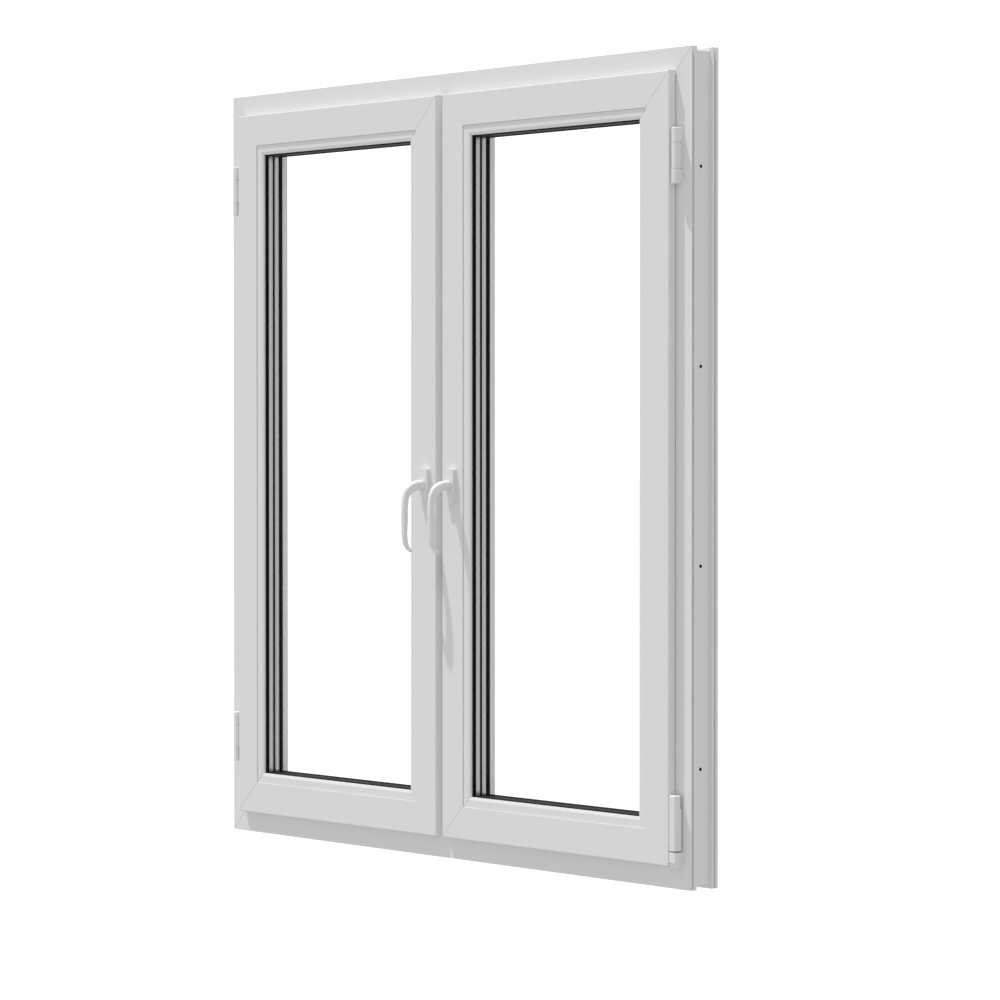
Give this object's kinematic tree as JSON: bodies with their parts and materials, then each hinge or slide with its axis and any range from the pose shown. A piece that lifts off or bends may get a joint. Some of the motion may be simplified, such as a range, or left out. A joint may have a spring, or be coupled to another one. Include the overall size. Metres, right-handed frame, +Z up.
{
  "type": "casement window",
  "caption": "Inward-opening casement window of white plastic profiles: glazed sashes beside a fixed mullion, lever handles, side hinges, and a right sash that also tilts.",
  "frame": {"origin": "middle of the frame's underside, on its room-side edge", "axes": "+X to the right seen from the room, +Y from the room to the outdoors, +Z up"},
  "size_m": [1.3, 0.1356, 1.4],
  "materials": {
    "white_pvc": "smooth satin white PVC-U",
    "white_hardware": "white powder coat and caps",
    "galvanised_steel": "hot-dip galvanised",
    "bright_steel": "turned and zinc plated",
    "zinc_alloy": "silver-passivated zinc",
    "black_gasket": "matt black EPDM",
    "clear_glass": "clear float glass",
    "spacer_aluminium": "mill-finish perforated bar",
    "setting_block": "moulded grey plastic"
  },
  "bodies": {
    "frame": {"frame_head": "white_pvc", "frame_sill": "white_pvc", "frame_jamb_left": "white_pvc", "frame_jamb_right": "white_pvc", "mullion": "white_pvc", "frame_steels": "galvanised_steel", "mullion_connectors": "zinc_alloy", "frame_gaskets": "black_gasket", "drain_caps": "white_hardware", "left_keeps": "zinc_alloy", "right_keeps": "zinc_alloy", "left_frame_hinges": "white_hardware", "right_stay_bearing": "white_hardware", "hinge_pins": "bright_steel", "right_corner_bracket": "white_hardware"},
    "left_sash": {"left_sash_top": "white_pvc", "left_sash_bottom": "white_pvc", "left_hinge_stile": "white_pvc", "left_lock_stile": "white_pvc", "left_sash_steels": "galvanised_steel", "left_beads": "white_pvc", "left_glazing_gaskets": "black_gasket", "left_sash_seal": "black_gasket", "left_pane_inner": "clear_glass", "left_pane_middle": "clear_glass", "left_pane_outer": "clear_glass", "left_spacers": "spacer_aluminium", "left_edge_seal": "black_gasket", "left_setting_blocks": "setting_block", "left_forend": "zinc_alloy", "left_gearbox": "zinc_alloy", "left_handle_plate": "white_hardware", "left_sash_hinges": "white_hardware"},
    "left_handle": {"left_handle": "white_hardware", "left_spindle": "bright_steel"},
    "left_lock_rod": {"left_drive_rod": "zinc_alloy"},
    "right_pivot": {"right_pivot_bush": "bright_steel"},
    "right_sash": {"right_sash_top": "white_pvc", "right_sash_bottom": "white_pvc", "right_hinge_stile": "white_pvc", "right_lock_stile": "white_pvc", "right_sash_steels": "galvanised_steel", "right_beads": "white_pvc", "right_glazing_gaskets": "black_gasket", "right_sash_seal": "black_gasket", "right_pane_inner": "clear_glass", "right_pane_middle": "clear_glass", "right_pane_outer": "clear_glass", "right_spacers": "spacer_aluminium", "right_edge_seal": "black_gasket", "right_setting_blocks": "setting_block", "right_forend": "zinc_alloy", "right_gearbox": "zinc_alloy", "right_handle_plate": "white_hardware", "right_corner_hinge": "white_hardware"},
    "right_stay": {"right_stay_arm": "zinc_alloy"},
    "right_handle": {"right_handle": "white_hardware", "right_spindle": "bright_steel"},
    "right_lock_rod": {"right_drive_rod": "zinc_alloy"}
  },
  "joints": [
    {"name": "left_sash_turn", "type": "hinge", "parent": "frame", "child": "left_sash", "pos_m": [-0.623, -0.01, 0.7], "axis": [0, 0, -1], "range_deg": [0, 100]},
    {"name": "left_handle_turn", "type": "hinge", "parent": "left_sash", "child": "left_handle", "pos_m": [-0.03765, -0.02, 0.665], "axis": [0, 1, 0], "range_deg": [0, 90]},
    {"name": "left_rod_slide", "type": "slide", "parent": "left_sash", "child": "left_lock_rod", "axis": [0, 0, 1], "range_m": [0, 0.018]},
    {"name": "right_sash_turn", "type": "hinge", "parent": "frame", "child": "right_pivot", "pos_m": [0.623, -0.01, 0.042], "axis": [0, 0, 1], "range_deg": [0, 100]},
    {"name": "right_sash_tilt", "type": "hinge", "parent": "right_pivot", "child": "right_sash", "pos_m": [0.623, -0.01, 0.042], "axis": [1, 0, 0], "range_deg": [0, 6.5]},
    {"name": "right_stay_swing", "type": "hinge", "parent": "right_pivot", "child": "right_stay", "pos_m": [0.623, -0.01, 1.2195], "axis": [0, 0, 1], "range_deg": [0, 22.75]},
    {"name": "right_handle_turn", "type": "hinge", "parent": "right_sash", "child": "right_handle", "pos_m": [0.03765, -0.02, 0.665], "axis": [0, -1, 0], "range_deg": [0, 180]},
    {"name": "right_rod_slide", "type": "slide", "parent": "right_sash", "child": "right_lock_rod", "axis": [0, 0, 1], "range_m": [0, 0.036]}
  ],
  "couplings": [
    {"joint": "left_rod_slide", "follows": "left_handle_turn", "m_per_rad": 0.011459},
    {"joint": "right_rod_slide", "follows": "right_handle_turn", "m_per_rad": 0.011459},
    {"joint": "right_stay_swing", "follows": "right_sash_tilt", "ratio": 3.5}
  ]
}
